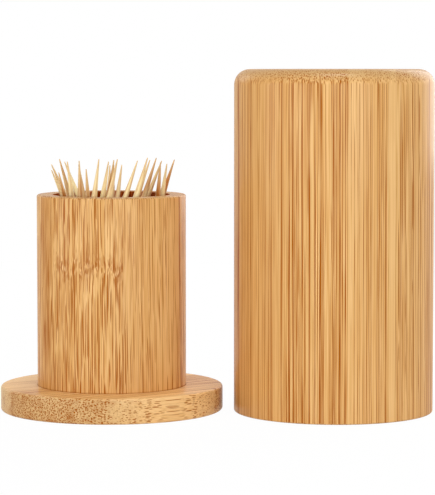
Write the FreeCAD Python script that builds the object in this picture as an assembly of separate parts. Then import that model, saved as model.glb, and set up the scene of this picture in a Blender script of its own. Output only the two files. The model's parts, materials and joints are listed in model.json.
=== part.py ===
"""A round bamboo toothpick holder: a base, a cup glued into it, a handful of toothpicks in the cup, and a cover.

The cover is a deep cap that drops over the cup and rests on the base. Here it is off and stands beside the base.
Lengths are in millimetres. The origin is the centre of the base's underside, +Z is up, +X runs from the base to
the cover and +Y is the back. Each piece is written to parts/NAME.step where it stands.
"""
import FreeCAD, Part
import itertools
import os

from FreeCAD import Placement, Rotation, Vector

# The cup is bored from above, so it keeps a floor, and is glued into a shallow round seat in the base.
CUP_BORE = 34.0
CUP_WALL = 4.75
CUP_RISE = 55.8             # from the top of the base to the rim
CUP_FLOOR = 6.0
CUP_RIM_ROUND = 0.6         # outer edge of the rim
CUP_BORE_ROUND = 0.4        # inner edge of the rim
SEAT_DEPTH = 1.5
SEAT_CLEARANCE = 0.1        # glue line round the cup's foot

# The cover slides down over the cup with a little play all round.
COVER_FIT = 0.75            # play between the cup and the cover's hollow
COVER_WALL = 6.5
COVER_HEADROOM = 21.0       # from a toothpick that stands straight up to the top of the hollow
COVER_CROWN = 8.8           # solid end above the hollow
COVER_EDGE_ROUND = 4.5
COVER_HOLLOW_ROUND = 2.0
COVER_FOOT_ROUND = 0.5
COVER_MOUTH_BEVEL = 0.8     # lead-in round the mouth of the hollow

# The base is a turned disc, a ledge wider than the cover.
BASE_LEDGE = 3.5
BASE_THICKNESS = 7.3
BASE_EDGE_ROUND = 0.8

# Where the cover stands while it is off.
COVER_APART = 3.3           # between the base and the cover, along X
COVER_FORWARD = 3.5         # the cover's axis stands this far in front of the base's

# Double-pointed toothpicks, turned round, with a long taper at each end.
STICK_LENGTH = 65.0
STICK_DIAMETER = 2.0
STICK_TAPER = 14.0
STICK_POINT = 0.3           # diameter of the blunt point
FLOOR_CLEARANCE = 0.2
WALL_CLEARANCE = 0.25
STICK_CLEARANCE = 0.45      # between two toothpicks, at rest and while either is drawn out

# Where each toothpick is dropped into the cup: its place at the rim (across, back), then the place of its foot on
# the floor (across, back), in tenths of the way from the cup's axis to where a toothpick touches the wall.
# They fan out to the left and to the right, and settle() then moves them off each other.
HANDFUL = [
    (-9, 4, 5, 6),
    (-9, -3, 4, 7),
    (-8, 1, 0, 9),
    (-7, 7, 6, 4),
    (-8, -6, -1, 10),
    (-7, -6, -3, 5),
    (-5, -6, -1, 6),
    (-5, -8, -5, 3),
    (-4, -9, -3, 6),
    (-3, -10, -7, 0),
    (-1, 7, -2, -8),
    (-1, -9, -7, 1),
    (0, 9, -1, -6),
    (0, -7, -5, 3),
    (0, -10, -7, -3),
    (1, 8, -3, -7),
    (3, -9, -8, -6),
    (5, -8, -5, -8),
    (5, -7, -6, -6),
    (6, 5, -5, 0),
    (7, 7, -6, 7),
    (9, -4, 6, 7),
    (9, -3, 4, 9),
    (10, -1, -1, 4),
]
SETTLING_ROUNDS = 150
SETTLED = 0.001             # a toothpick is left alone once it is this near to being clear
GIVE_ACROSS = 0.4           # toothpicks give way mostly front to back, and this share of it from side to side

# Sizes that follow from the ones above.
CUP_RADIUS = CUP_BORE / 2 + CUP_WALL
HOLLOW_RADIUS = CUP_RADIUS + COVER_FIT
COVER_RADIUS = HOLLOW_RADIUS + COVER_WALL
BASE_RADIUS = COVER_RADIUS + BASE_LEDGE
SEAT_HEIGHT = BASE_THICKNESS - SEAT_DEPTH
FLOOR_HEIGHT = SEAT_HEIGHT + CUP_FLOOR
RIM_HEIGHT = BASE_THICKNESS + CUP_RISE
FOOT_HEIGHT = FLOOR_HEIGHT + FLOOR_CLEARANCE
HOLLOW_DEPTH = FOOT_HEIGHT + STICK_LENGTH + COVER_HEADROOM - BASE_THICKNESS
COVER_HEIGHT = HOLLOW_DEPTH + COVER_CROWN
COVER_ACROSS = BASE_RADIUS + COVER_APART + COVER_RADIUS
STICK_RADIUS = STICK_DIAMETER / 2
STICK_REACH = CUP_BORE / 2 - STICK_RADIUS - WALL_CLEARANCE
STICK_TRAVEL = RIM_HEIGHT - FLOOR_HEIGHT          # drawn out until its lower point is level with the rim
PATH_LENGTH = STICK_LENGTH + STICK_TRAVEL

SAME = 1e-6
PARALLEL = 1e-9
UP = Vector(0, 0, 1)


class Toothpick:
    """A straight toothpick, known by where its axis passes the rim's plane and where its foot stands."""

    def __init__(self, place):
        rim_across, rim_back, foot_across, foot_back = (tenths * STICK_REACH / 10 for tenths in place)
        self.rim = Vector(rim_across, rim_back, RIM_HEIGHT)
        self.foot = Vector(foot_across, foot_back, FOOT_HEIGHT)

    @property
    def direction(self):
        """Unit vector from the foot towards the upper point, along which the toothpick is drawn out."""
        return (self.rim - self.foot).normalize()

    def nudge(self, along, push):
        """Shift the axis sideways so that the place at a distance along it moves by about the given push."""
        share = along * self.direction.z / (self.rim.z - self.foot.z)
        push = push * (1 / ((1 - share) ** 2 + share ** 2))
        push = Vector(push.x * GIVE_ACROSS, push.y, 0)
        self.rim = self.rim + push * share
        self.foot = self.foot + push * (1 - share)

    def keep_in_bore(self):
        """Bring the rim's and the foot's places back inside the bore."""
        for end in (self.rim, self.foot):
            spread = Vector(end.x, end.y, 0).Length
            if spread > STICK_REACH:
                end.x *= STICK_REACH / spread
                end.y *= STICK_REACH / spread


def path_radius(along):
    """Radius of the room that a toothpick takes, at a distance from its foot, at rest and while it is drawn out."""
    point_radius = STICK_POINT / 2
    return point_radius + (STICK_RADIUS - point_radius) * min(1.0, along / STICK_TAPER)


def on_path(along):
    """The distance along a toothpick's path, kept between its foot and where its upper point is drawn to."""
    return min(max(along, 0.0), PATH_LENGTH)


def tightest(stick, other):
    """Find where two toothpicks' paths come too close.

    Returns how much they are short of their clearance (0 where they have it), the distance along the first one
    and along the other, and the way from the other to the first.
    """
    worst = (0.0, 0.0, 0.0, Vector())
    stick_way, other_way = stick.direction, other.direction
    apart = stick.foot - other.foot
    alike = stick_way.dot(other_way)
    slant = 1 - alike * alike
    stations = [quarter * STICK_TAPER / 4 for quarter in range(5)] + [PATH_LENGTH]
    pairs = [(along, on_path((apart + stick_way * along).dot(other_way))) for along in stations]
    pairs += [(on_path((other_way * along - apart).dot(stick_way)), along) for along in stations]
    if slant > PARALLEL:
        crossing = on_path((alike * other_way.dot(apart) - stick_way.dot(apart)) / slant)
        beside = on_path((apart + stick_way * crossing).dot(other_way))
        pairs.append((on_path((other_way * beside - apart).dot(stick_way)), beside))
    for along, beside in pairs:
        way = apart + stick_way * along - other_way * beside
        short = path_radius(along) + path_radius(beside) + STICK_CLEARANCE - way.Length
        if short > worst[0]:
            worst = (short, along, beside, way)
    return worst


def settle(sticks):
    """Move toothpicks apart, a little at a time, until each lies and can be drawn out clear of the others."""
    for _ in range(SETTLING_ROUNDS):
        settled = True
        for stick, other in itertools.combinations(sticks, 2):
            short, along, beside, way = tightest(stick, other)
            if short <= SETTLED:
                continue
            settled = False
            flat = Vector(way.x, way.y, 0)
            push = flat.normalize() * (short / 2) if flat.Length > SAME else Vector(0, short / 2, 0)
            stick.nudge(along, push)
            other.nudge(beside, push * -1)
        for stick in sticks:
            stick.keep_in_bore()
        if settled:
            break
    return sticks


def rings(shape, radius, height):
    """The shape's round edges of one radius at one height."""
    return [
        edge
        for edge in shape.Edges
        if isinstance(edge.Curve, Part.Circle)
        and abs(edge.Curve.Radius - radius) < SAME
        and abs(edge.Curve.Center.z - height) < SAME
    ]


def make_base():
    """The turned disc, its edges eased, with the cup's seat sunk in its top."""
    seat_radius = CUP_RADIUS + SEAT_CLEARANCE
    disc = Part.makeCylinder(BASE_RADIUS, BASE_THICKNESS)
    edges = rings(disc, BASE_RADIUS, 0) + rings(disc, BASE_RADIUS, BASE_THICKNESS)
    disc = disc.makeFillet(BASE_EDGE_ROUND, edges)
    return disc.cut(Part.makeCylinder(seat_radius, SEAT_DEPTH, Vector(0, 0, SEAT_HEIGHT)))


def make_cup():
    """The bored cup, from its seat to its rounded rim."""
    cup = Part.makeCylinder(CUP_RADIUS, RIM_HEIGHT - SEAT_HEIGHT, Vector(0, 0, SEAT_HEIGHT))
    bore_depth = RIM_HEIGHT - FLOOR_HEIGHT
    cup = cup.cut(Part.makeCylinder(CUP_BORE / 2, bore_depth, Vector(0, 0, FLOOR_HEIGHT)))
    cup = cup.makeFillet(CUP_RIM_ROUND, rings(cup, CUP_RADIUS, RIM_HEIGHT))
    return cup.makeFillet(CUP_BORE_ROUND, rings(cup, CUP_BORE / 2, RIM_HEIGHT))


def make_cover():
    """The deep cap, standing on its mouth beside the base."""
    cover = Part.makeCylinder(COVER_RADIUS, COVER_HEIGHT)
    cover = cover.cut(Part.makeCylinder(HOLLOW_RADIUS, HOLLOW_DEPTH))
    cover = cover.makeFillet(COVER_EDGE_ROUND, rings(cover, COVER_RADIUS, COVER_HEIGHT))
    cover = cover.makeFillet(COVER_HOLLOW_ROUND, rings(cover, HOLLOW_RADIUS, HOLLOW_DEPTH))
    cover = cover.makeFillet(COVER_FOOT_ROUND, rings(cover, COVER_RADIUS, 0))
    cover = cover.makeChamfer(COVER_MOUTH_BEVEL, rings(cover, HOLLOW_RADIUS, 0))
    cover.translate(Vector(COVER_ACROSS, -COVER_FORWARD, 0))
    return cover


def make_toothpick(stick):
    """One toothpick, turned about its own axis and stood where it has settled."""
    point_radius = STICK_POINT / 2
    outline = [
        Vector(0, 0, 0),
        Vector(point_radius, 0, 0),
        Vector(STICK_RADIUS, 0, STICK_TAPER),
        Vector(STICK_RADIUS, 0, STICK_LENGTH - STICK_TAPER),
        Vector(point_radius, 0, STICK_LENGTH),
        Vector(0, 0, STICK_LENGTH),
    ]
    profile = Part.Face(Part.makePolygon(outline + outline[:1]))
    toothpick = profile.revolve(Vector(), UP, 360)
    toothpick.Placement = Placement(stick.foot, Rotation(UP, stick.direction))
    return toothpick


def make_pieces():
    """Every piece of the holder by name."""
    pieces = {"base_disc": make_base(), "cup": make_cup(), "cover": make_cover()}
    sticks = settle([Toothpick(place) for place in HANDFUL])
    for number, stick in enumerate(sticks, start=1):
        pieces[f"toothpick_{number:02d}"] = make_toothpick(stick)
    return pieces


def main():
    """Write each piece to its own STEP file."""
    os.makedirs("parts", exist_ok=True)
    for name, shape in make_pieces().items():
        shape.exportStep(f"parts/{name}.step")


if __name__ == "__main__":
    main()
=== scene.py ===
"""The looks of a bamboo toothpick holder: a base, a cup glued into it, the toothpicks, and its cover.

Every piece is built round its own CAD solid, at the same place and size. Lengths are in millimetres, except
where a name ends in _m or holds one of Blender's points, and MM turns them to metres.
"""
import json
import logging
import math
import random
from dataclasses import dataclass, field
from enum import Enum

import bmesh
import bpy
from mathutils import Euler, Matrix, Vector


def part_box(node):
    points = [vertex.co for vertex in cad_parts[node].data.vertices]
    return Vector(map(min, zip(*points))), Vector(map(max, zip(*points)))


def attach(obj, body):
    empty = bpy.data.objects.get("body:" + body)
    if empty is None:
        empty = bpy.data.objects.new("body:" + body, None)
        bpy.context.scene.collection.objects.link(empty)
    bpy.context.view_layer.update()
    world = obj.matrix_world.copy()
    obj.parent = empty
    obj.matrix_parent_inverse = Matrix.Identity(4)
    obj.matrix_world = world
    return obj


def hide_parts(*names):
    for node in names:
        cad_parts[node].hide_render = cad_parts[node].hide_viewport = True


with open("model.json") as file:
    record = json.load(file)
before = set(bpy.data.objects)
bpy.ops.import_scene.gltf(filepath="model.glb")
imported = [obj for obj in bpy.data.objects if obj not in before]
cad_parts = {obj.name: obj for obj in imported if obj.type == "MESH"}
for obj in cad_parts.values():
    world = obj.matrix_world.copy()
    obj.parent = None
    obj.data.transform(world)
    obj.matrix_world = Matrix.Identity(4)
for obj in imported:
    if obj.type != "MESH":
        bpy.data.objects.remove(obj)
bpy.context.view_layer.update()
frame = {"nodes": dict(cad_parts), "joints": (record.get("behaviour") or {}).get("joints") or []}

MM = 0.001
SHARP_FROM = 40.0                           # degrees; an edge that turns more than this is shaded sharp
UP = Vector((0, 0, 1))
LOG = logging.getLogger("toothpick_holder")

LOW, HIGH, AT_LOW, AT_HIGH = 1, 2, 3, 4     # a Map Range node's range, and what it gives at either end
MIX_A, MIX_B = 6, 7                         # a Mix node's two colours
TONE, CROWD, RUFFLE = 0, 1, 2               # what the outputs of a looked-up strip give
NOISE_MIDDLE = (0.5, 0.5, 0.5)              # what noise swings about

Colour = tuple[float, float, float, float]
Axes = tuple[float, float, float]
Tree = bpy.types.NodeTree
Node = bpy.types.Node
Socket = bpy.types.NodeSocket
Source = Node | Socket                      # what an input is linked to; a node means its first live output
Inputs = dict[str | int, object]            # for an input's name or number, its value or what it is linked to
Layer = tuple[Source, str]                  # how much of a colour covers what is under it, and the colour


def linear(hex_colour: str) -> Colour:
    """Turn an sRGB hex colour to linear light, by the numbers of the sRGB standard.

    Args:
        hex_colour: a colour such as "#D8A26A".

    Returns:
        Red, green, blue and an alpha of 1.
    """
    shares = [int(hex_colour[at:at + 2], 16) / 255 for at in (1, 3, 5)]
    red, green, blue = (s / 12.92 if s <= 0.04045 else ((s + 0.055) / 1.055) ** 2.4 for s in shares)
    return red, green, blue, 1.0


def add_node(tree: Tree, kind: str, inputs: Inputs | None = None, **settings: object) -> Node:
    """Add a node with its settings, values and links.

    Args:
        tree: the node tree it goes into.
        kind: what follows "ShaderNode" in the node's type.
        inputs: its values and links.
        settings: the node's own properties.

    Returns:
        The new node.
    """
    node = tree.nodes.new("ShaderNode" + kind)
    for name, value in settings.items():
        setattr(node, name, value)
    for name, value in (inputs or {}).items():
        if isinstance(value, Node):
            value = next(output for output in value.outputs if output.enabled)
        if isinstance(value, Socket):
            tree.links.new(value, node.inputs[name])
        else:
            node.inputs[name].default_value = value
    return node


def new_material(name: str) -> tuple[bpy.types.Material, Tree]:
    """Make a material with an empty node tree.

    Args:
        name: what it is called.

    Returns:
        The material and its tree.
    """
    material = bpy.data.materials.new(name)
    material.use_nodes = True
    material.node_tree.nodes.clear()
    return material, material.node_tree


def distance_from(tree: Tree, value: Source, mark: float) -> Node:
    """Give how far a value is from a mark, to either side."""
    away = add_node(tree, "Math", {0: value, 1: mark}, operation="SUBTRACT")
    return add_node(tree, "Math", {0: away}, operation="ABSOLUTE")


def lay_outline(points: list[tuple[float, float]]) -> bmesh.types.BMesh:
    """Lay a half outline as a chain of edges.

    Args:
        points: for each corner, how far it is from the axis and how high it is.

    Returns:
        A bmesh with the chain in it.
    """
    shape = bmesh.new()
    verts = [shape.verts.new((across, 0, along)) for across, along in points]
    for pair in zip(verts, verts[1:]):
        shape.edges.new(pair)
    return shape


def spin_outline(shape: bmesh.types.BMesh, steps: int, merge: float) -> None:
    """Spin an outline once round the upright axis, and close the skin and point it outwards.

    Args:
        shape: the bmesh, with nothing but the outline in it.
        steps: how many flats go round.
        merge: points closer than this become one.
    """
    bmesh.ops.spin(
        shape,
        geom=list(shape.verts) + list(shape.edges),
        cent=(0, 0, 0),
        axis=UP,
        angle=math.tau,
        steps=steps,
        use_merge=True,
        use_duplicate=False,
    )
    bmesh.ops.remove_doubles(shape, verts=shape.verts, dist=merge)
    bmesh.ops.recalc_face_normals(shape, faces=shape.faces)


def to_object(shape: bmesh.types.BMesh, mesh_name: str, name: str) -> bpy.types.Object:
    """Turn a finished bmesh into an object in the scene.

    Args:
        shape: the bmesh, which is freed.
        mesh_name: what the mesh is called.
        name: what the object is called.

    Returns:
        The object.
    """
    mesh = bpy.data.meshes.new(mesh_name)
    shape.to_mesh(mesh)
    shape.free()
    made = bpy.data.objects.new(name, mesh)
    bpy.context.scene.collection.objects.link(made)
    return made


def shade_round(piece: bpy.types.Object) -> None:
    """Shade a piece's faces smooth, up to its sharp edges."""
    piece.data.shade_smooth()
    piece.data.set_sharp_from_angle(angle=math.radians(SHARP_FROM))


class Grain(Enum):
    """Which way the fibres of a bamboo block run."""

    UPRIGHT = "up the piece"
    LYING = "level, across the piece"


class Surface(Enum):
    """How a bamboo surface was made."""

    LACQUERED = "turned, sanded and lacquered"
    BORED = "bored and left bare"


@dataclass(frozen=True)
class Strip:
    """One of the strips that a block is glued up from, as it is met going across the block.

    Attributes:
        width: from one glue line to the next.
        tone: 0 for pale bamboo and 1 for deep honey.
        near: how crowded the fibre bundles are at its first edge, 0 to 1.
        far: the same at its other edge. Bundles crowd towards what was the outside of the cane.
        ruffle: 0 where the fibres run true, and 1 where they waver and run out of the surface.
    """

    width: float
    tone: float
    near: float
    far: float
    ruffle: float = 0.0


@dataclass(frozen=True)
class Bundles:
    """A set of fibre bundles.

    Real ones are finer. These are drawn about 0.3 mm wide, which is as coarse as they need to be to show.

    Attributes:
        spacing: from one bundle to the next.
        thickness: of a bundle where it is thickest.
        run: how far along the grain a bundle goes between two places where it swells.
        waist: how thick it is where it is thinnest, as a share of its thickness.
        sparse: how dark a bundle is where few of them stand, 0 to 1.
        faded: how dark it is where it is thinnest, 0 to 1.
    """

    spacing: float
    thickness: float
    run: float
    waist: float
    sparse: float = 0.7
    faded: float = 0.75


@dataclass(frozen=True)
class DarkLine:
    """A glue line or a dark fibre that runs the length of a block.

    Attributes:
        place: across the block, from its middle.
        width: how wide it is.
        strength: 1 where it is as dark as the finish's line colour.
    """

    place: float
    width: float
    strength: float


@dataclass(frozen=True)
class Knuckle:
    """The joint of the cane, where the fibres swerve and the wood is speckled.

    Attributes:
        height: along the grain.
        reach: how far it spreads along the grain, to each side.
        left: where it starts across the block.
        right: where it ends across the block.
        calm: how much of the coarse bundles is left above it, 0 to 1.
        soft_edge: how far its two sides fade in and out.
    """

    height: float
    reach: float
    left: float
    right: float
    calm: float = 0.75
    soft_edge: float = 0.3


@dataclass(frozen=True)
class Patches:
    """Soft patches, or streaks where they are longer than wide, that noise lays over the wood.

    Attributes:
        rate: how many come to a millimetre, across, through and along the grain.
        low: the noise at which they begin.
        high: the noise at which they are full.
        least: what they give where they haven't begun.
        most: what they give where they are full.
        detail: how many finer layers the noise has.
        roughness: how strong the finer layers are.
    """

    rate: Axes
    low: float = 0.0
    high: float = 1.0
    least: float = 0.0
    most: float = 1.0
    detail: float = 1.0
    roughness: float = 0.5

    def lay(self, tree: Tree, place: Source) -> Node:
        """Lay the patches.

        Args:
            tree: the node tree.
            place: the place in the wood.

        Returns:
            What the patches give at the place.
        """
        noise = {"Scale": 1.0, "Detail": self.detail, "Roughness": self.roughness}
        noise["Vector"] = add_node(tree, "Mapping", {"Vector": place, "Scale": self.rate})
        reached = {0: add_node(tree, "TexNoise", noise), LOW: self.low, HIGH: self.high}
        return add_node(tree, "MapRange", {**reached, AT_LOW: self.least, AT_HIGH: self.most})


@dataclass(frozen=True)
class Wander:
    """How fibres stray sideways on their way along the block.

    Attributes:
        rate: how many bends come to a millimetre, across, through and along the grain.
        reach: how far they stray, the same three ways.
    """

    rate: Axes
    reach: Axes

    def shift(self, tree: Tree, place: Source, seeds: Axes, share: Source | float = 1.0) -> Node:
        """Give how far the fibre at a place has strayed.

        Args:
            tree: the node tree.
            place: the place in the block.
            seeds: what moves the bends, so that no two blocks are alike.
            share: how much of the reach is used, 0 to 1.

        Returns:
            The move.
        """
        bends = add_node(tree, "Mapping", {"Vector": place, "Location": seeds, "Scale": self.rate})
        bends = add_node(tree, "TexNoise", {"Vector": bends, "Scale": 1.0, "Detail": 1.0}).outputs["Color"]
        bends = add_node(tree, "VectorMath", {0: bends, 1: NOISE_MIDDLE}, operation="SUBTRACT")
        bends = add_node(tree, "VectorMath", {0: bends, 1: self.reach}, operation="MULTIPLY")
        return add_node(tree, "VectorMath", {0: bends, "Scale": share}, operation="SCALE")


@dataclass
class Spot:
    """A spot in a block of bamboo, as the nodes of one material work it out.

    Attributes:
        tree: the material's node tree.
        place: in mm, x across the strips, y through the rows and z along the grain.
        strip: the strip that it is in. Its outputs are the TONE, CROWD and RUFFLE.
        path: the place, bent as the fibres bend.
        bundles: how much of it is fibre, 0 to 1.
        fine: how dark the fine grain is, 0 to 1.
    """

    tree: Tree
    place: Source
    strip: Node | None = None
    path: Source | None = None
    bundles: Source | None = None
    fine: Source | None = None


@dataclass(frozen=True)
class Bamboo:
    """Laminated bamboo, moso cane, turned and sanded under a clear satin lacquer.

    The pattern is solid: strips glued side by side, with fibre bundles all through them, which show as lines
    along the grain and as dots where the grain ends. The eye sees warm honey stripes with dark hairlines,
    dotted edges and a soft sheen.

    Attributes:
        name: what the material is called.
        centre: the middle of the block.
        half: half the block's width, across the strips.
        strips: the strips, going across, which together are twice the half.
        grain: which way the fibres run.
        turn: how far the block is turned about the upright axis, in degrees.
        first_row: where the second row of strips starts, behind the first, from the middle.
        row_depth: how deep a row of strips is.
        row_shift: how far each row is moved sideways from the one before, as a share of the half.
        fine: the bundles that are all through the block.
        hairs: the thin single fibres between them.
        coarse: the bigger, broken ones of the ruffled strips.
        run_out: how steeply the fibres run out of the surface, where they are true and where ruffled.
        drift: how all the fibres stray, slowly.
        waver: how the fibres of a ruffled strip stray as well.
        swerve: how the fibres stray round the joint of the cane.
        lines: glue lines and dark fibres.
        line_fade: how much of a line shows here and there.
        knuckle: the joint of the cane, if the block shows one.
        mottle: how brown the patches on the ends of the grain are, 0 to 1.
        contrast: how much of the way from pale to deep the fine grain swings.
        streak: about how long a streak of the fine grain is.
        bands: how the tone rises and falls from one part of a strip to the next.
        glue_and_shade_height: how high a dark ring reaches up the foot, or 0: partly glue stain, partly
            painted shade where the foot meets the base.
        seed: moves the pattern, so that no two blocks are alike.
        pale, tan, honey: the wood between the bundles, from the lightest to the deepest.
        ends: the tone that the ends of the grain lean to.
        end_share: how far they lean to it, 0 to 1.
        fibre: the bundles.
        line: glue lines, dark fibres and the dots of cut bundles.
        scorch_and_shade: what the bored wood is multiplied by, partly for the drill's scorch and partly as
            painted shade of the hollow.
        scorch_and_shade_share: how much of that darkening shows, 0 to 1.
        relief: how deep the lacquer still shows the grain.
        roughness: of the sanded wood under the lacquer.
        bare_roughness: of the bored wood.
        ior: of the wood and its lacquer.
        gloss: how much the wood itself shines, where 0.5 is a smooth surface.
        coat: how much of the surface the lacquer covers.
        coat_roughness: of the lacquer.
    """

    name: str
    centre: Axes
    half: float
    strips: tuple[Strip, ...]
    grain: Grain = Grain.UPRIGHT
    turn: float = 0.0
    first_row: float = -9.0
    row_depth: float = 20.0
    row_shift: float = 0.62
    fine: Bundles = Bundles(0.62, 0.33, 16.0, 0.6)
    hairs: Bundles = Bundles(0.46, 0.24, 16.0, 0.6)
    coarse: Bundles = Bundles(0.72, 0.42, 14.0, -0.2)
    run_out: tuple[float, float] = (0.003, 0.02)
    drift: Wander = Wander((0.07, 0.07, 0.006), (1.2, 0.8, 0))
    waver: Wander = Wander((0.3, 0.3, 0.06), (0.2, 0.4, 0))
    swerve: Wander = Wander((0.5, 0.5, 0.3), (0.7, 1.1, 0))
    lines: tuple[DarkLine, ...] = ()
    line_fade: Patches = Patches((0.45, 0.45, 0.035), low=0.35, high=0.62, least=0.35, most=1.1)
    knuckle: Knuckle | None = None
    mottle: float = 0.0
    contrast: float = 0.45
    streak: float = 16.0
    bands: Patches = Patches((0.45, 0.45, 0.012), low=0.3, high=0.7, least=-0.06, most=0.06)
    glue_and_shade_height: float = 0.0
    seed: float = 0.0
    pale: str = "#EEC58A"
    tan: str = "#DBAA69"
    honey: str = "#C38846"
    ends: str = "#B89C70"
    end_share: float = 0.45
    fibre: str = "#A05700"
    line: str = "#9A5000"
    scorch_and_shade: str = "#B85C08"
    scorch_and_shade_share: float = 0.85
    relief: float = 0.03
    roughness: float = 0.45
    bare_roughness: float = 0.7
    ior: float = 1.45
    gloss: float = 0.03
    coat: float = 0.22
    coat_roughness: float = 0.2

    def material(self, surface: Surface) -> bpy.types.Material:
        """Build the material for one kind of surface.

        Args:
            surface: lacquered outside, or bored and bare inside.

        Returns:
            The material.
        """
        material, tree = new_material(f"{self.name}, {surface.value}")
        spot = Spot(tree, self._place(tree))
        spot.strip = self._strip(spot)
        spot.path = self._fibre_path(spot)
        crowd = spot.strip.outputs[CROWD]
        hair_crowd = add_node(tree, "MapRange", {0: crowd, AT_LOW: 0.5})
        sets = ((crowd, self.fine), (self._coarse_crowd(spot), self.coarse))
        spot.bundles = self._bundles(spot, hair_crowd, self.hairs)
        for crowd, size in sets:
            both = {0: spot.bundles, 1: self._bundles(spot, crowd, size)}
            spot.bundles = add_node(tree, "Math", both, operation="MAXIMUM")
        spot.fine = self._fine_grain(spot)
        self._finish(spot, surface)
        return material

    def _place(self, tree: Tree) -> Node:
        """Work out the place in the block, in mm.

        Args:
            tree: the material's node tree.

        Returns:
            The place: x across the strips, y through the rows and z along the grain.
        """
        turn = Matrix.Rotation(math.radians(-self.turn), 3, "Z")
        if self.grain is Grain.LYING:
            # The fibres run along the turned x axis, the rows lie flat, and the strips are side by side.
            turn = Matrix(((0, 1, 0), (0, 0, 1), (1, 0, 0))) @ turn
        block = {"Location": turn @ -Vector(self.centre), "Rotation": turn.to_euler(), "Scale": (1 / MM,) * 3}
        block["Vector"] = add_node(tree, "TexCoord").outputs["Object"]
        across, through, along = add_node(tree, "SeparateXYZ", {0: add_node(tree, "Mapping", block)}).outputs
        # Each row of strips behind the first is the same set, moved sideways and round to the other side.
        row = add_node(tree, "Math", {0: through, 1: self.first_row}, operation="SUBTRACT")
        row = add_node(tree, "Math", {0: row, 1: self.row_depth}, operation="DIVIDE")
        row = add_node(tree, "Math", {0: row}, operation="FLOOR")
        row = add_node(tree, "Math", {0: row, 1: 1.0}, operation="ADD")
        moved = {0: row, 1: self.half * self.row_shift, 2: across}
        moved = add_node(tree, "Math", moved, operation="MULTIPLY_ADD")
        moved = add_node(tree, "Math", {0: moved, 1: -self.half, 2: self.half}, operation="WRAP")
        return add_node(tree, "CombineXYZ", {0: moved, 1: through, 2: along})

    def _strip(self, spot: Spot) -> Node:
        """Look up the strip that a spot is in.

        Args:
            spot: the spot in the block.

        Returns:
            A node whose outputs are the strip's TONE, CROWD and RUFFLE.
        """
        across = add_node(spot.tree, "SeparateXYZ", {0: spot.place}).outputs[0]
        share = add_node(spot.tree, "MapRange", {0: across, LOW: -self.half, HIGH: self.half})
        ramp = add_node(spot.tree, "ValToRGB", {0: share})
        stops = ramp.color_ramp.elements
        stops[0].position, stops[1].position = 0.0, 1.0
        gap = 0.0005        # half of what is left between two strips, as a share of the block's width
        total = sum(strip.width for strip in self.strips)
        start = 0.0
        for number, strip in enumerate(self.strips):
            end = start + strip.width / total
            first = stops[0] if number == 0 else stops.new(start + gap)
            first.color = (strip.tone, strip.near, strip.ruffle, 1.0)
            last = stops[len(stops) - 1] if number == len(self.strips) - 1 else stops.new(end - gap)
            last.color = (strip.tone, strip.far, strip.ruffle, 1.0)
            start = end
        return add_node(spot.tree, "SeparateColor", {0: ramp})

    def _fibre_path(self, spot: Spot) -> Source:
        """Bend the place sideways, as the fibres lean and wander on their way along the block.

        Args:
            spot: the spot in the block.

        Returns:
            The bent place.
        """
        tree, ruffle = spot.tree, spot.strip.outputs[RUFFLE]
        along = add_node(tree, "SeparateXYZ", {0: spot.place}).outputs[2]
        slope = add_node(tree, "MapRange", {0: ruffle, AT_LOW: self.run_out[0], AT_HIGH: self.run_out[1]})
        lean = add_node(tree, "Math", {0: along, 1: slope}, operation="MULTIPLY")
        lean_way = (0.25, 1, 0)     # mostly through the surface, and a little across it
        seeds = (self.seed, self.seed * 0.7, self.seed * 0.3)
        moves = [
            add_node(tree, "VectorMath", {0: lean, 1: lean_way}, operation="MULTIPLY"),
            self.drift.shift(tree, spot.place, seeds),
            self.waver.shift(tree, spot.place, seeds, ruffle),
        ]
        if self.knuckle:
            moves.append(self.swerve.shift(tree, spot.place, seeds, self._knuckle_share(spot)))
        path = spot.place
        for move in moves:
            path = add_node(tree, "VectorMath", {0: path, 1: move}, operation="ADD")
        return path

    def _knuckle_share(self, spot: Spot) -> Node:
        """Work out how near a spot is to the cane's joint.

        Args:
            spot: the spot in the block.

        Returns:
            1 in the middle of the joint and 0 away from it.
        """
        tree, knuckle, reach = spot.tree, self.knuckle, self.knuckle.reach
        across, through, along = add_node(tree, "SeparateXYZ", {0: spot.place}).outputs
        ragged = Patches((0.35, 0.35, 0), least=-reach, most=reach, detail=2.0).lay(tree, spot.place)
        along = add_node(tree, "Math", {0: along, 1: knuckle.height}, operation="SUBTRACT")
        along = add_node(tree, "Math", {0: along, 1: ragged}, operation="ADD")
        along = add_node(tree, "Math", {0: along}, operation="ABSOLUTE")
        near = {0: along, HIGH: reach, AT_LOW: 1.0, AT_HIGH: 0.0}
        near = add_node(tree, "MapRange", near, interpolation_type="SMOOTHSTEP")
        across = distance_from(tree, across, (knuckle.left + knuckle.right) / 2)
        half, soft = (knuckle.right - knuckle.left) / 2, knuckle.soft_edge
        within = {0: across, LOW: half - soft, HIGH: half + soft, AT_LOW: 1.0, AT_HIGH: 0.0}
        within = add_node(tree, "MapRange", within)
        in_first_row = add_node(tree, "Math", {0: through, 1: self.first_row}, operation="LESS_THAN")
        share = add_node(tree, "Math", {0: near, 1: within}, operation="MULTIPLY")
        return add_node(tree, "Math", {0: share, 1: in_first_row}, operation="MULTIPLY")

    def _coarse_crowd(self, spot: Spot) -> Source:
        """Crowd the coarse bundles as the strip is ruffled, but less above the cane's joint.

        Args:
            spot: the spot in the block.

        Returns:
            How crowded they are, 0 to 1.
        """
        ruffle = spot.strip.outputs[RUFFLE]
        if not self.knuckle:
            return ruffle
        along = add_node(spot.tree, "SeparateXYZ", {0: spot.place}).outputs[2]
        below, above = self.knuckle.height - 3, self.knuckle.height + 1     # between these they calm down
        calm = {0: along, LOW: below, HIGH: above, AT_LOW: 1.0, AT_HIGH: self.knuckle.calm}
        calm = add_node(spot.tree, "MapRange", calm)
        return add_node(spot.tree, "Math", {0: ruffle, 1: calm}, operation="MULTIPLY")

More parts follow.
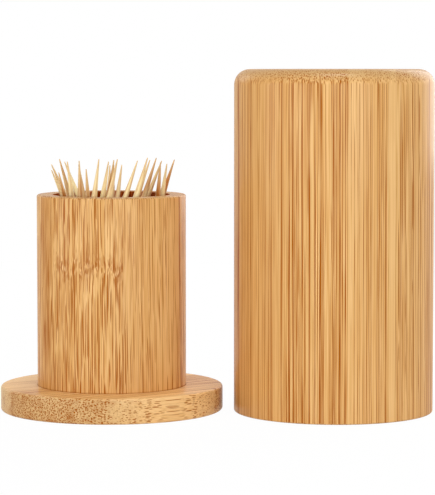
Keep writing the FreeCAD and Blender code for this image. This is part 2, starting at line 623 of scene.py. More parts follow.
    def _end_grain(self, tree: Tree) -> Node:
        """Work out how far a face cuts across the fibres.

        Args:
            tree: the material's node tree.

        Returns:
            1 on the end of the grain and 0 along it.
        """
        lying = Matrix.Rotation(math.radians(self.turn), 3, "Z") @ Vector((1, 0, 0))
        way = UP if self.grain is Grain.UPRIGHT else lying
        facing = add_node(tree, "NewGeometry").outputs["True Normal"]
        facing = add_node(tree, "VectorMath", {0: facing, 1: way}, operation="DOT_PRODUCT")
        facing = add_node(tree, "Math", {0: facing}, operation="ABSOLUTE")
        return add_node(tree, "MapRange", {0: facing, LOW: 0.1, HIGH: 0.8}, interpolation_type="SMOOTHSTEP")

    def _bundles(self, spot: Spot, crowd: Source, size: Bundles) -> Node:
        """Give one set of fibre bundles.

        Each swells and fades along its length by itself, so it shows as a streak that tapers at both ends.

        Args:
            spot: the spot.
            crowd: how crowded the bundles are, 0 to 1.
            size: how far apart, thick and long they are.

        Returns:
            1 in the middle of a bundle and 0 between them.
        """
        tree = spot.tree
        grid = {"Vector": spot.path, "Scale": 1 / size.spacing, "Randomness": 1.0}
        cells = add_node(tree, "TexVoronoi", grid, voronoi_dimensions="2D")
        # Where the bundles aren't crowded, some are faint and some are left out, by their cells' own chance.
        chance = add_node(tree, "SeparateColor", {0: cells.outputs["Color"]}).outputs[0]
        missing = add_node(tree, "Math", {0: 1.0, 1: crowd}, operation="SUBTRACT")
        shown = add_node(tree, "Math", {0: chance, 1: missing}, operation="SUBTRACT")
        shown = add_node(tree, "MapRange", {0: shown, LOW: -0.2, HIGH: 0.3})
        depth = add_node(tree, "MapRange", {0: crowd, AT_LOW: size.sparse})
        shown = add_node(tree, "Math", {0: shown, 1: depth}, operation="MULTIPLY")
        # Each cell reads the noise in a lane of its own, so that each bundle swells by itself.
        along = add_node(tree, "SeparateXYZ", {0: spot.path}).outputs[2]
        along = add_node(tree, "Math", {0: along, 1: 1 / size.run}, operation="MULTIPLY")
        along = add_node(tree, "CombineXYZ", {2: along})
        lanes = (60, 60, 0)     # far enough apart that no two lanes are alike
        lane = add_node(tree, "VectorMath", {0: cells.outputs["Color"], 1: lanes}, operation="MULTIPLY")
        lane = add_node(tree, "VectorMath", {0: lane, 1: along}, operation="ADD")
        swell = add_node(tree, "TexNoise", {"Vector": lane, "Scale": 1.0, "Detail": 1.0})
        swell = add_node(tree, "MapRange", {0: swell, LOW: 0.3, HIGH: 0.62})
        thick = size.thickness / size.spacing / 2
        width = add_node(tree, "MapRange", {0: swell, AT_LOW: thick * size.waist, AT_HIGH: thick})
        edge = add_node(tree, "Math", {0: width, 1: cells.outputs["Distance"]}, operation="SUBTRACT")
        core = add_node(tree, "MapRange", {0: edge, LOW: -0.04, HIGH: 0.08}, interpolation_type="SMOOTHSTEP")
        fade = add_node(tree, "MapRange", {0: swell, AT_LOW: size.faded})
        core = add_node(tree, "Math", {0: core, 1: fade}, operation="MULTIPLY")
        return add_node(tree, "Math", {0: core, 1: shown}, operation="MULTIPLY")

    def _fine_grain(self, spot: Spot) -> Node:
        """Give the fine grain between the bundles, 0 to 1: dark streaks, about 0.3 mm wide, in paler wood."""
        return Patches((3.2, 3.2, 0.5 / self.streak), 0.36, 0.66, roughness=0.7).lay(spot.tree, spot.path)

    def _line_share(self, spot: Spot) -> Node:
        """Draw the dark lines, which keep their place and fade here and there.

        Args:
            spot: the spot in the block.

        Returns:
            How much of the line colour shows, 0 to 1.
        """
        tree, total = spot.tree, 0.0
        across = add_node(tree, "SeparateXYZ", {0: spot.path}).outputs[0]
        for line in self.lines:
            # It is full in its middle and gone a little beyond its width, so that its edges are soft.
            inner, outer = line.width * 0.3, line.width * 0.7
            share = {0: distance_from(tree, across, line.place), LOW: inner, HIGH: outer}
            share = add_node(tree, "MapRange", {**share, AT_LOW: line.strength, AT_HIGH: 0.0})
            total = add_node(tree, "Math", {0: total, 1: share}, operation="MAXIMUM")
        fade = self.line_fade.lay(tree, spot.path)
        return add_node(tree, "Math", {0: total, 1: fade}, operation="MULTIPLY")

    def _colour(self, spot: Spot) -> Node:
        """Put the strip's tone, the fine grain and the layers over them together.

        Args:
            spot: the spot in the block.

        Returns:
            The colour of the wood.
        """
        tree = spot.tree
        calm, busy = self.contrast * 0.5, self.contrast * 1.3
        depth = add_node(tree, "MapRange", {0: spot.strip.outputs[CROWD], AT_LOW: calm, AT_HIGH: busy})
        level = 0.35        # the fine grain that leaves the strip's tone as it is
        streaks = add_node(tree, "Math", {0: spot.fine, 1: level}, operation="SUBTRACT")
        tone = {0: streaks, 1: depth, 2: spot.strip.outputs[TONE]}
        tone = add_node(tree, "Math", tone, operation="MULTIPLY_ADD")
        tone = add_node(tree, "Math", {0: tone, 1: self.bands.lay(tree, spot.path)}, operation="ADD")
        colour = add_node(tree, "ValToRGB", {0: tone})
        stops = colour.color_ramp.elements
        stops[0].color = linear(self.pale)
        stops[1].color = linear(self.honey)
        stops.new(0.5).color = linear(self.tan)
        for share, over in self._layers(spot):
            colour = add_node(tree, "Mix", {0: share, MIX_A: colour, MIX_B: linear(over)}, data_type="RGBA")
        return colour

    def _layers(self, spot: Spot) -> list[Layer]:
        """List what lies over the plain wood.

        Args:
            spot: the spot in the block.

        Returns:
            The layers, from the bottom up.
        """
        tree, end_grain = spot.tree, self._end_grain(spot.tree)
        leaning = add_node(tree, "Math", {0: end_grain, 1: self.end_share}, operation="MULTIPLY")
        layers = [(leaning, self.ends)]
        if self.mottle:
            patches = Patches((0.22,) * 3, 0.48, 0.68, most=self.mottle, detail=3.0, roughness=0.6)
            patches = {0: patches.lay(tree, spot.place), 1: end_grain}
            layers.append((add_node(tree, "Math", patches, operation="MULTIPLY"), self.fibre))
        dots = add_node(tree, "Math", {0: spot.bundles, 1: end_grain}, operation="MULTIPLY")
        dot_share = 0.95    # how much of the line colour a cut bundle takes
        dots = add_node(tree, "Math", {0: dots, 1: dot_share}, operation="MULTIPLY")
        layers += [(spot.bundles, self.fibre), (dots, self.line)]
        if self.lines:
            lengthwise = add_node(tree, "Math", {0: 1.0, 1: end_grain}, operation="SUBTRACT")
            lines = {0: self._line_share(spot), 1: lengthwise}
            layers.append((add_node(tree, "Math", lines, operation="MULTIPLY"), self.line))
        if self.knuckle:
            layers += self._knuckle_marks(spot)
        # a dark ring up the foot: partly glue stain, partly painted shade where the cup meets the base
        if self.glue_and_shade_height:
            along = add_node(tree, "SeparateXYZ", {0: spot.place}).outputs[2]
            fade, strength = 0.3, 0.6
            glue_and_shade_height = {0: along, LOW: self.glue_and_shade_height - fade, HIGH: self.glue_and_shade_height, AT_LOW: strength, AT_HIGH: 0.0}
            layers.append((add_node(tree, "MapRange", glue_and_shade_height), self.line))
        return layers

    def _knuckle_marks(self, spot: Spot) -> list[Layer]:
        """Draw the marks of the cane's joint.

        Args:
            spot: the spot in the block.

        Returns:
            The layers: brown patches, and the dark and pale ends of cut fibres.
        """
        near = self._knuckle_share(spot)
        layers = []
        for rate, reach, strength, colour in (
            ((0.5, 0.5, 0.14), 0.6, 0.5, self.fibre),
            ((1.4, 1.4, 0.22), 0.45, 0.9, self.line),
            ((1.4, 1.4, 0.3), 0.35, 0.7, self.pale),
        ):
            mark = add_node(spot.tree, "Mapping", {"Vector": spot.path, "Location": rate, "Scale": rate})
            mark = add_node(spot.tree, "TexVoronoi", {"Vector": mark, "Scale": 1.0})
            mark = {0: mark, LOW: reach / 2, HIGH: reach, AT_LOW: strength, AT_HIGH: 0.0}
            mark = {0: add_node(spot.tree, "MapRange", mark), 1: near}
            layers.append((add_node(spot.tree, "Math", mark, operation="MULTIPLY"), colour))
        return layers

    def _finish(self, spot: Spot, surface: Surface) -> None:
        """Colour the wood, and lay the lacquer or leave the bored wood bare and darker: partly scorch, partly
        painted shade of the hollow.

        Args:
            spot: the spot in the block.
            surface: how it was made.
        """
        tree, colour = spot.tree, self._colour(spot)
        sunk = -0.6         # how deep a bundle lies, against the height of the fine grain
        height = add_node(tree, "Math", {0: spot.bundles, 1: sunk, 2: spot.fine}, operation="MULTIPLY_ADD")
        relief = {"Strength": 0.25, "Distance": self.relief * MM, "Height": height}
        shader = {
            "Base Color": colour,
            "Roughness": self.roughness,
            "IOR": self.ior,
            "Specular IOR Level": self.gloss,
            "Coat Weight": self.coat,
            "Coat Roughness": self.coat_roughness,
            "Normal": add_node(tree, "Bump", relief),
        }
        if surface is Surface.BORED:
            # the bored wood is darkened: partly the drill's scorch, partly painted shade inside the hollow
            scorch_and_shade_mix = {0: self.scorch_and_shade_share, MIX_A: colour, MIX_B: linear(self.scorch_and_shade)}
            shader["Base Color"] = add_node(tree, "Mix", scorch_and_shade_mix, data_type="RGBA", blend_type="MULTIPLY")
            shader |= {"Roughness": self.bare_roughness, "Specular IOR Level": 0.0, "Coat Weight": 0.0}
        add_node(tree, "OutputMaterial", {"Surface": add_node(tree, "BsdfPrincipled", shader)})


@dataclass(frozen=True)
class ToothpickWood:
    """White birch, turned round and sharpened, left bare.

    The eye sees cream and orange-brown wood, streaked along its length, and duller points where it was cut.

    Attributes:
        name: what the material is called.
        pale, tan: the wood, from the lightest to the deepest.
        point: the cut wood of the points.
        streaks: how the wood is streaked.
        swing: how much of the way from pale to tan a streak goes.
        dulled: how far from its point the cut wood looks dull.
        dull_share: how dull the very point looks, 0 to 1.
        relief: how deep the streaks are.
        roughness: of the bare wood.
        ior: of the wood.
    """

    name: str = "White birch, turned and left bare"
    pale: str = "#FFEDB6"
    tan: str = "#BA7228"
    point: str = "#D6B27A"
    streaks: Patches = Patches((1.1, 1.1, 0.05), low=0.35, high=0.65, detail=3.0)
    swing: float = 0.75
    dulled: float = 7.0
    dull_share: float = 0.85
    relief: float = 0.03
    roughness: float = 0.55
    ior: float = 1.5

    def material(self, length: float) -> bpy.types.Material:
        """Build the material. The pattern follows the toothpick's own axes, which its mesh keeps.

        Args:
            length: of a toothpick, point to point.

        Returns:
            The material.
        """
        material, tree = new_material(self.name)
        own = add_node(tree, "Attribute", attribute_name=Toothpick.OWN_PLACE).outputs["Vector"]
        tint = add_node(tree, "Attribute", attribute_name=Toothpick.TINT).outputs["Fac"]
        grain = self.streaks.lay(tree, own)
        share = add_node(tree, "Math", {0: grain, 1: self.swing, 2: tint}, operation="MULTIPLY_ADD")
        wood = {0: share, MIX_A: linear(self.pale), MIX_B: linear(self.tan)}
        colour = add_node(tree, "Mix", wood, data_type="RGBA")
        along = add_node(tree, "SeparateXYZ", {0: own}).outputs[2]
        ends = {0: distance_from(tree, along, length / 2), LOW: length / 2 - self.dulled, HIGH: length / 2}
        ends = add_node(tree, "MapRange", {**ends, AT_HIGH: self.dull_share})
        colour = add_node(tree, "Mix", {0: ends, MIX_A: colour, MIX_B: linear(self.point)}, data_type="RGBA")
        relief = {"Strength": 0.3, "Distance": self.relief * MM, "Height": grain}
        shader = {"Base Color": colour, "Roughness": self.roughness, "IOR": self.ior}
        shader["Normal"] = add_node(tree, "Bump", relief)
        add_node(tree, "OutputMaterial", {"Surface": add_node(tree, "BsdfPrincipled", shader)})
        return material


@dataclass(frozen=True)
class Corner:
    """A corner of a turned piece's half outline.

    Attributes:
        radius: from the axis.
        height: above the floor.
        ease: how far back the corner is rounded or bevelled.
        segments: 1 for a bevel, and more for a round.
    """

    radius: float
    height: float
    ease: float = 0.0
    segments: int = 6


@dataclass(frozen=True)
class Envelope:
    """The room that a round upright piece takes.

    Attributes:
        x: where its axis is, across.
        y: where its axis is, to the back.
        radius: of its widest part.
        foot: the height of its underside.
        top: the height of its top.
    """

    x: float
    y: float
    radius: float
    foot: float
    top: float

    @classmethod
    def of(cls, node: str) -> "Envelope":
        """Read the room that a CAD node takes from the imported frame.

        Args:
            node: what the node is called.

        Returns:
            The room.
        """
        low, high = (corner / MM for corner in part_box(node))
        middle = (low + high) / 2
        return cls(middle.x, middle.y, (high.x - low.x) / 2, low.z, high.z)


@dataclass(kw_only=True)
class TurnedPiece:
    """A piece of bamboo turned about an upright axis, and bored if it has a hollow.

    Attributes:
        node: the CAD node that it stands for.
        body: what it rides on.
        slot: the record's material slot; it is not used.
        steps: how many flats go round it.
    """

    node: str
    body: str
    slot: str
    steps: int = 192

    @property
    def envelope(self) -> Envelope:
        """The room that the piece takes."""
        return Envelope.of(self.node)

    def outline(self) -> tuple[Corner, ...]:
        """Give the half outline, from the axis round to the axis."""
        raise NotImplementedError

    def bamboo(self) -> Bamboo:
        """Give the bamboo that the piece is turned from."""
        raise NotImplementedError

    def bore(self) -> Corner | None:
        """Give the corner at the blind end of the bore, or nothing for a piece without one."""
        return None

    def build(self) -> bpy.types.Object:
        """Spin the outline, round its corners and put it in its place.

        Returns:
            The finished piece.
        """
        corners = self.outline()
        shape = lay_outline([(corner.radius * MM, corner.height * MM) for corner in corners])
        spin_outline(shape, self.steps, merge=0.01 * MM)
        for corner in corners:
            if corner.ease:
                self._ease(shape, corner)
        bmesh.ops.translate(shape, verts=shape.verts, vec=self._axis())
        return to_object(shape, self.node, self.node + "_turned")

    def _axis(self) -> Vector:
        """Give the foot of the piece's axis, in metres."""
        room = self.envelope
        return Vector((room.x, room.y, 0)) * MM

    def _ease(self, shape: bmesh.types.BMesh, corner: Corner) -> None:
        """Round or bevel the ring of edges at one corner."""
        ring = [edge for edge in shape.edges if all(self._is_at(vert, corner) for vert in edge.verts)]
        bmesh.ops.bevel(
            shape,
            geom=ring,
            offset=corner.ease * MM,
            offset_type="OFFSET",
            segments=corner.segments,
            profile=0.5,
            affect="EDGES",
            material=-1,
        )

    @staticmethod
    def _is_at(vert: bmesh.types.BMVert, corner: Corner) -> bool:
        """Tell whether a vertex stands at a corner's radius and height."""
        near = 0.02 * MM
        radius = math.hypot(vert.co.x, vert.co.y)
        return abs(radius - corner.radius * MM) < near and abs(vert.co.z - corner.height * MM) < near

    def dress(self, piece: bpy.types.Object) -> None:
        """Give the piece its materials, and shade its faces smooth up to its sharp edges.

        Args:
            piece: the turned piece.
        """
        bamboo, bore, axis = self.bamboo(), self.bore(), self._axis()
        piece.data.materials.append(bamboo.material(Surface.LACQUERED))
        if bore:
            piece.data.materials.append(bamboo.material(Surface.BORED))
            for face in piece.data.polygons:
                face.material_index = int(self._is_bored(face, bore, axis))
        shade_round(piece)

    @staticmethod
    def _is_bored(face: bpy.types.MeshPolygon, bore: Corner, axis: Vector) -> bool:
        """Tell whether a face is the wall or the end of the bore.

        Args:
            face: a face of the finished piece.
            bore: the corner at the blind end of the bore.
            axis: the foot of the piece's axis, in metres.

        Returns:
            Whether the drill made the face.
        """
        out = face.center - axis
        height = out.z
        out.z = 0
        near = 0.1 * MM
        is_wall = out.length < bore.radius * MM + near and face.normal.dot(out) < -near * out.length
        is_end = out.length < bore.radius * MM and abs(height - bore.height * MM) < near
        return is_wall or is_end

    def place(self, piece: bpy.types.Object) -> None:
        """Let the piece stand for its CAD node and move with its body."""
        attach(piece, self.body)
        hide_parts(self.node)


@dataclass(kw_only=True)
class BaseDisc(TurnedPiece):
    """The turned disc that the cup is glued into and the cover rests on.

    Attributes:
        edge_round: of its top and its bottom edge.
        glue_line: the slack round the cup's foot.
        grain_turn: how far its fibres are turned from the x axis, in degrees.
    """

    node: str = "base_disc"
    body: str = "holder"
    slot: str = "base_bamboo"
    edge_round: float = 0.8
    glue_line: float = 0.1
    grain_turn: float = 35.0

    def outline(self) -> tuple[Corner, ...]:
        """Give the half outline, with the seat that is sunk in the top."""
        disc, cup = self.envelope, Envelope.of("cup")
        seat_radius = cup.radius + self.glue_line
        return (
            Corner(0, disc.foot),
            Corner(disc.radius, disc.foot, self.edge_round),
            Corner(disc.radius, disc.top, self.edge_round),
            Corner(seat_radius, disc.top),
            Corner(seat_radius, cup.foot),
            Corner(0, cup.foot),
        )

    def bamboo(self) -> Bamboo:
        """Give the bamboo: wide strips that lie flat, their ends full of dots and brown patches."""
        return Bamboo(
            name="Laminated bamboo of the base",
            centre=(0, 0, 0),
            half=self.envelope.radius,
            strips=(
                Strip(5.5, 0.05, 0.5, 0.3), Strip(20.0, 0.2, 0.8, 1.0), Strip(10.0, 0.4, 1.0, 0.9),
                Strip(29.5, 0.1, 0.3, 0.1),
            ),
            grain=Grain.LYING,
            turn=self.grain_turn,
            first_row=20.0,
            fine=Bundles(0.58, 0.42, 30.0, 0.6),
            hairs=Bundles(0.45, 0.24, 12.0, 0.2),
            mottle=0.5,
            seed=3.0,
        )


@dataclass(kw_only=True)
class Cup(TurnedPiece):
    """The bored cup that holds the toothpicks.

    Attributes:
        wall: how thick its wall is.
        floor: how thick its own floor is.
        rim_round: of the rim's outer edge.
        bore_round: of the rim's inner edge.
        glue_and_shade_creep: how far the dark ring at its foot reaches above the base: partly glue stain,
            partly painted shade where the cup meets the base.
    """

    node: str = "cup"
    body: str = "holder"
    slot: str = "cup_bamboo"
    wall: float = 4.75
    floor: float = 6.0
    rim_round: float = 0.6
    bore_round: float = 0.4
    glue_and_shade_creep: float = 0.35

    def bore(self) -> Corner:
        """Give the corner between the bore and the cup's floor."""
        cup = self.envelope
        return Corner(cup.radius - self.wall, cup.foot + self.floor)

    def outline(self) -> tuple[Corner, ...]:
        """Give the half outline, up the outside and down the bore."""
        cup, bore = self.envelope, self.bore()
        return (
            Corner(0, cup.foot),
            Corner(cup.radius, cup.foot),
            Corner(cup.radius, cup.top, self.rim_round),
            Corner(bore.radius, cup.top, self.bore_round, 4),
            bore,
            Corner(0, bore.height),
        )

    def bamboo(self) -> Bamboo:
        """Give the bamboo: ruffled strips on the left with the cane's joint, and plain ones on the right."""
        places_widths_strengths = (
            (-9.8, 0.25, 0.7), (4.2, 0.2, 0.4), (8.5, 0.2, 0.4), (9.6, 0.2, 0.3), (15.3, 0.2, 0.4),
        )
        return Bamboo(
            name="Laminated bamboo of the cup",
            centre=(0, 0, 0),
            half=self.envelope.radius,
            strips=(
                Strip(4.6, 0.75, 1.0, 1.0, 1.0), Strip(7.3, 0.5, 1.0, 1.0, 1.0),
                Strip(14.1, 0.4, 1.0, 0.9, 0.9), Strip(9.0, 0.45, 0.5, 0.4, 0.6),
                Strip(8.5, 0.35, 0.45, 0.35, 0.6),
            ),
            fine=Bundles(0.55, 0.34, 16.0, 0.5),
            hairs=Bundles(0.42, 0.28, 10.0, 0.2),
            streak=10.0,
            lines=tuple(DarkLine(*line) for line in places_widths_strengths),
            knuckle=Knuckle(height=43.0, reach=4.5, left=-16.0, right=4.2),
            # the dark ring at the foot: partly glue stain, partly painted shade where the cup meets the base
            glue_and_shade_height=Envelope.of("base_disc").top + self.glue_and_shade_creep,
            seed=11.0,
        )


@dataclass(kw_only=True)
class Cover(TurnedPiece):
    """The deep cap that drops over the cup.

    Attributes:
        wall: how thick its wall is.
        crown: how thick it is above the hollow.
        edge_round: of the crown's edge.
        foot_round: of the foot's outer edge.
        mouth_bevel: of the hollow's mouth.
        hollow_round: of the hollow's blind end.
    """

    node: str = "cover"
    body: str = "cover"
    slot: str = "cover_bamboo"
    wall: float = 6.5
    crown: float = 8.8
    edge_round: float = 4.5
    foot_round: float = 0.5
    mouth_bevel: float = 0.8
    hollow_round: float = 2.0

    def bore(self) -> Corner:
        """Give the corner at the blind end of the hollow."""
        cover = self.envelope
        return Corner(cover.radius - self.wall, cover.top - self.crown, self.hollow_round)

    def outline(self) -> tuple[Corner, ...]:
        """Give the half outline, down the outside and up the hollow."""
        cover, bore = self.envelope, self.bore()
        return (
            Corner(0, cover.top),
            Corner(cover.radius, cover.top, self.edge_round, 14),
            Corner(cover.radius, cover.foot, self.foot_round, 4),
            Corner(bore.radius, cover.foot, self.mouth_bevel, 1),
            bore,
            Corner(0, bore.height),
        )

    def bamboo(self) -> Bamboo:
        """Give the bamboo: upright strips full of dark hairlines, crowded left of the middle."""
        cover = self.envelope
        places_widths_strengths = (
            (-24.5, 0.25, 0.8), (-18.5, 0.25, 0.7), (-15.5, 0.25, 0.8), (-13.5, 0.3, 1.0), (-12.5, 0.3, 1.0),
            (-10.0, 0.4, 1.0), (-8.0, 0.35, 1.0), (-6.5, 0.3, 1.0), (-5.0, 0.4, 1.0), (-1.5, 0.3, 1.0),
            (0.5, 0.35, 1.0), (2.0, 0.35, 1.0), (7.0, 0.25, 0.8), (11.0, 0.25, 0.7), (18.0, 0.25, 0.7),
            (22.0, 0.25, 0.8), (27.0, 0.25, 0.7),
        )
        return Bamboo(
            name="Laminated bamboo of the cover",
            centre=(cover.x, cover.y, 0),
            half=cover.radius,
            strips=(
                Strip(4.4, 0.6, 0.5, 0.45), Strip(10.0, 0.6, 0.4, 0.6), Strip(6.0, 0.5, 1.0, 0.8),
                Strip(5.8, 0.4, 0.8, 1.0), Strip(5.4, 0.45, 0.9, 1.0), Strip(4.3, 0.35, 0.3, 0.25),
                Strip(7.6, 0.45, 0.45, 0.55), Strip(1.7, 0.25, 0.2, 0.2), Strip(9.6, 0.4, 0.7, 0.8, 0.55),
                Strip(3.2, 0.5, 0.7, 0.6, 0.6),
            ),
            lines=tuple(DarkLine(*line) for line in places_widths_strengths),
            seed=23.0,
        )


@dataclass
class Toothpick:
    """A double-pointed toothpick.

    Attributes:
        node: the CAD node that it stands for, which is also the body it rides on.
        direction: from its foot to its upper point.
        wood: the material that every toothpick shares.
        number: where it is in the handful, which sets its small irregularities.
        taper: how long each point is.
        point: the radius at which each point is cut off.
        point_flat: how much of that radius is flat, as a share.
        point_bevel: how far back the edge of that cut is eased, along the toothpick.
        steps: how many flats go round it.
        cuts: how often each long edge of its outline is cut, so that it can be bent.
        bow: the most that it is bent, in the middle.
        slack: how far out of round it is, as a share of its radius.
        tints: how far its wood may lean to the pale or the tan.
    """

    OWN_PLACE = "own_place"
    TINT = "tint"

    node: str
    direction: Vector
    wood: bpy.types.Material
    number: int
    taper: float = 14.0
    point: float = 0.15
    point_flat: float = 0.7
    point_bevel: float = 0.1
    steps: int = 20
    cuts: int = 7
    bow: float = 0.12
    slack: float = 0.03
    tints: tuple[float, float] = (-0.35, 0.45)

    def ends(self) -> tuple[Vector, Vector, float]:
        """Read the axis from the CAD solid.

        Returns:
            The foot, the upper point and the radius, in metres.
        """
        points = [vert.co.copy() for vert in frame["nodes"][self.node].data.vertices]
        heights = [point.dot(self.direction) for point in points]
        low, high = min(heights), max(heights)
        near = 0.01 * MM
        foot_ring = [p for p, h in zip(points, heights) if h - low < near]
        tip_ring = [p for p, h in zip(points, heights) if high - h < near]
        foot = sum(foot_ring, Vector()) / len(foot_ring)
        tip = sum(tip_ring, Vector()) / len(tip_ring)
        foot = foot + self.direction * (low - foot.dot(self.direction))
        tip = tip + self.direction * (high - tip.dot(self.direction))
        radius = max(((p - foot) - self.direction * (p - foot).dot(self.direction)).length for p in points)
        return foot, tip, radius

    def build(self) -> bpy.types.Object:
        """Turn the toothpick, bend it a little and stand it in the cup.

        Returns:
            The finished piece.
        """
        chance = random.Random(self.number)
        foot, tip, radius_m = self.ends()
        length, radius = (tip - foot).length / MM, radius_m / MM
        flat = self.point * self.point_flat
        lower = [(0, 0), (flat, 0), (self.point, self.point_bevel), (radius, self.taper)]
        shape = lay_outline(lower + [(across, length - along) for across, along in reversed(lower)])
        long_edges = [edge for edge in shape.edges if edge.calc_length() > self.taper / 2]
        bmesh.ops.subdivide_edges(shape, edges=long_edges, cuts=self.cuts)
        spin_outline(shape, self.steps, merge=0.001)
        own_place = [vert.co.copy() for vert in shape.verts]
        self._distort(shape, length, chance)
        turn = UP.rotation_difference(self.direction).to_matrix().to_4x4()
        stand = Matrix.Translation(foot) @ turn @ Matrix.Scale(MM, 4)
        bmesh.ops.transform(shape, matrix=stand, verts=shape.verts)
        piece = to_object(shape, self.node, self.node + "_turned")
        self._keep_own_place(piece.data, own_place, chance)
        return piece

    def _distort(self, shape: bmesh.types.BMesh, length: float, chance: random.Random) -> None:
        """Bow the toothpick and put it slightly out of round, as cheap turned wood is.

        Args:
            shape: the straight toothpick, standing on its foot.
            length: of the toothpick.
            chance: what the way and the depth of the bow are drawn from.
        """
        way = chance.uniform(0, math.tau)
        bow = Vector((math.cos(way), math.sin(way), 0)) * chance.uniform(0.3, 1.0) * self.bow
        flat = chance.uniform(0, math.tau)
        twist = 9       # how far along the toothpick the flat side turns by one radian
        for vert in shape.verts:
            around = math.atan2(vert.co.y, vert.co.x)
            shrink = 1 - self.slack * (1 + math.cos(2 * (around - flat) + vert.co.z / twist)) / 2
            vert.co.x *= shrink
            vert.co.y *= shrink
            vert.co += bow * math.sin(math.pi * vert.co.z / length)

    def _keep_own_place(self, mesh: bpy.types.Mesh, own_place: list[Vector], chance: random.Random) -> None:
        """Store each point's place in the toothpick's own axes, and the toothpick's tint.

        Args:
            mesh: of the finished toothpick.
            own_place: each point's place while the toothpick stood straight.
            chance: what the tint is drawn from.
        """
        shift = Vector((7, 3, 0)) * self.number     # so that no two toothpicks have the same streaks
        places = mesh.attributes.new(self.OWN_PLACE, "FLOAT_VECTOR", "POINT")
        places.data.foreach_set("vector", [axis for own in own_place for axis in own + shift])
        tints = mesh.attributes.new(self.TINT, "FLOAT", "POINT")
        tints.data.foreach_set("value", [chance.uniform(*self.tints)] * len(own_place))

    def dress(self, piece: bpy.types.Object) -> None:
        """Give the toothpick its wood, and shade it smooth."""
        piece.data.materials.append(self.wood)
        shade_round(piece)

    def place(self, piece: bpy.types.Object) -> None:
        """Let the toothpick stand for its CAD node and move with it."""
        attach(piece, self.node)
        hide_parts(self.node)


@dataclass
class Handful:
    """The loose toothpicks in the cup, all of one wood.

    Attributes:
        wood: what they are turned from.
        length: of a toothpick, point to point.
    """

    wood: ToothpickWood = field(default_factory=ToothpickWood)
    length: float = 65.0

    def toothpicks(self) -> list[Toothpick]:
        """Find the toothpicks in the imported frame, where each one's slide gives the way that it points.

        Returns:
            The toothpicks, in the order of their names.
        """
        axes = {joint["child"]: Vector(joint["axis"]) for joint in frame["joints"]}
        nodes = sorted(node for node in axes if node.startswith("toothpick_"))
        wood = self.wood.material(self.length)
        return [Toothpick(node, axes[node].normalized(), wood, at) for at, node in enumerate(nodes, start=1)]


@dataclass(frozen=True)
class SoftBox:
    """A square lamp on a stand.

    Attributes:
        name: what it is called.
        place_m: where it stands.
        aim_m: what it faces.
        size_m: how long its side is.
        power: in watts.
    """

    name: str
    place_m: Axes
    aim_m: Axes
    size_m: float
    power: float


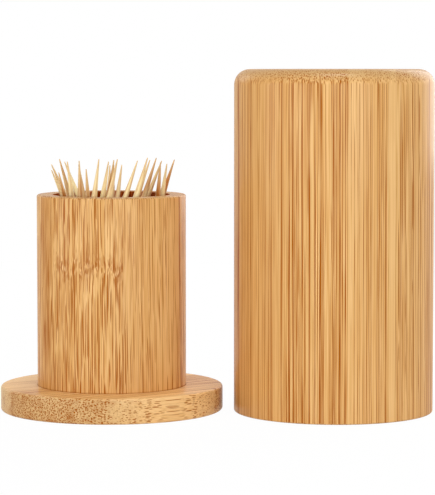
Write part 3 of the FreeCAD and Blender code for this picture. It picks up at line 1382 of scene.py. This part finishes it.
@dataclass
class Studio:
    """The camera, the lamps, the floor and the white surroundings.

    Attributes:
        camera_place_m: where the camera stands.
        camera_tilt: how far it looks up from level, in degrees.
        focal_pixels: its focal length, in pixels of the picture.
        frame_pixels: the longer side of the picture.
        sensor: the longer side of its sensor.
        sight_m: how far the camera sees.
        floor_m: how far the floor reaches, each way.
        shadow_m: how far out the floor shows its shadows as strongly as beside the object.
        white_from_m: how far out the floor is seen as pure white.
        white_share: how much of it is seen as pure white beside the object, where the rest shows the shadow.
        lamps: two in front with a low one between them, one at the left, one overhead and two behind.
        world: how strongly the surroundings light the object, where 1 is white.
    """

    camera_place_m: Axes = (0.031, -0.690, 0.1015)
    camera_tilt: float = -4.48
    focal_pixels: float = 2366.0
    frame_pixels: float = 495.0
    sensor: float = 36.0
    sight_m: float = 50.0
    floor_m: float = 12.0
    shadow_m: float = 0.1
    white_from_m: float = 0.5
    white_share: float = 0.97
    lamps: tuple[SoftBox, ...] = (
        SoftBox("key", (0.6, -0.98, 0.22), (0.03, 0, 0.03), 0.5, 2.5),
        SoftBox("second", (-0.72, -0.9, 0.16), (0.03, 0, 0.03), 0.5, 2.6),
        SoftBox("front", (0.15, -1.2, 0.08), (0.03, 0, 0.0), 0.6, 2.9),
        SoftBox("fill", (-1.1, -0.3, 0.15), (0.03, 0, 0.0), 0.5, 2.8),
        SoftBox("top", (0.1, -0.35, 2.2), (0.03, 0, 0.05), 0.8, 18.0),
        SoftBox("back_right", (0.65, 0.78, 0.4), (0.03, 0, 0.03), 0.8, 6.5),
        SoftBox("back_left", (-0.7, 0.8, 0.45), (0.03, 0, 0.03), 0.4, 1.0),
    )
    world: float = 0.42

    def build(self) -> None:
        """Set up everything that isn't part of the object."""
        self._camera()
        for lamp in self.lamps:
            self._stand(lamp)
        self._floor()
        self._surroundings()
        bpy.context.scene.view_settings.view_transform = "Standard"

    def _camera(self) -> None:
        """Stand the camera a little above the holder, looking slightly down."""
        data = bpy.data.cameras.new("camera")
        data.sensor_width = self.sensor
        data.lens = self.focal_pixels / self.frame_pixels * self.sensor
        data.clip_end = self.sight_m
        camera = bpy.data.objects.new("camera", data)
        camera.location = self.camera_place_m
        camera.rotation_euler = Euler((math.radians(90 + self.camera_tilt), 0, 0))
        bpy.context.scene.collection.objects.link(camera)
        bpy.context.scene.camera = camera

    @staticmethod
    def _stand(lamp: SoftBox) -> None:
        """Stand one lamp in its place, facing what it aims at.

        Args:
            lamp: the lamp.
        """
        data = bpy.data.lights.new(lamp.name, "AREA")
        data.size = lamp.size_m
        data.energy = lamp.power
        stand = bpy.data.objects.new(lamp.name, data)
        stand.location = lamp.place_m
        back = Vector(lamp.place_m) - Vector(lamp.aim_m)
        stand.rotation_euler = back.to_track_quat("Z", "Y").to_euler()
        bpy.context.scene.collection.objects.link(stand)

    @staticmethod
    def _seen(tree: Tree) -> Source:
        """Tell what is seen from what only lights the object.

        Args:
            tree: a node tree.

        Returns:
            1 for what is seen, straight on, mirrored or through glass, and 0 for the rest.
        """
        path = add_node(tree, "LightPath")
        seen = path.outputs["Is Camera Ray"]
        for ray in ("Is Glossy Ray", "Is Transmission Ray"):
            seen = add_node(tree, "Math", {0: seen, 1: path.outputs[ray]}, operation="MAXIMUM")
        return seen

    def _floor(self) -> None:
        """Lay a plain pale floor. The camera sees it almost white, with the object's soft shadow."""
        shape = bmesh.new()
        bmesh.ops.create_grid(shape, x_segments=1, y_segments=1, size=self.floor_m)
        floor = to_object(shape, "floor", "floor")
        material, tree = new_material("Floor, matt white card")
        place = add_node(tree, "TexCoord").outputs["Object"]
        away = add_node(tree, "VectorMath", {0: place}, operation="LENGTH")
        white = {0: away, LOW: self.shadow_m, HIGH: self.white_from_m, AT_LOW: self.white_share}
        white = add_node(tree, "MapRange", white)
        share = add_node(tree, "Math", {0: self._seen(tree), 1: white}, operation="MULTIPLY")
        card = add_node(tree, "BsdfDiffuse", {"Color": (0.9, 0.9, 0.9, 1)})
        glow = add_node(tree, "Emission", {"Color": (1, 1, 1, 1), "Strength": 1.0})
        both = add_node(tree, "MixShader", {0: share, 1: card, 2: glow})
        add_node(tree, "OutputMaterial", {"Surface": both})
        floor.data.materials.append(material)

    def _surroundings(self) -> None:
        """Surround the object with soft white light. What the camera and reflections see of it is white."""
        world = bpy.data.worlds.new("white studio")
        world.use_nodes = True
        tree = world.node_tree
        tree.nodes.clear()
        strength = add_node(tree, "MapRange", {0: self._seen(tree), AT_LOW: self.world, AT_HIGH: 1.0})
        light = add_node(tree, "Background", {"Color": (1, 1, 1, 1), "Strength": strength})
        add_node(tree, "OutputWorld", {"Surface": light})
        bpy.context.scene.world = world


def main() -> None:
    """Build the studio and every piece, and report each one."""
    logging.basicConfig(level=logging.INFO, format="%(name)s: %(message)s")
    Studio().build()
    for part in (BaseDisc(), Cup(), Cover(), *Handful().toothpicks()):
        piece = part.build()
        part.dress(piece)
        part.place(piece)
        LOG.info("%s stands for %s, %d faces", piece.name, part.node, len(piece.data.polygons))


if __name__ == "__main__":
    main()
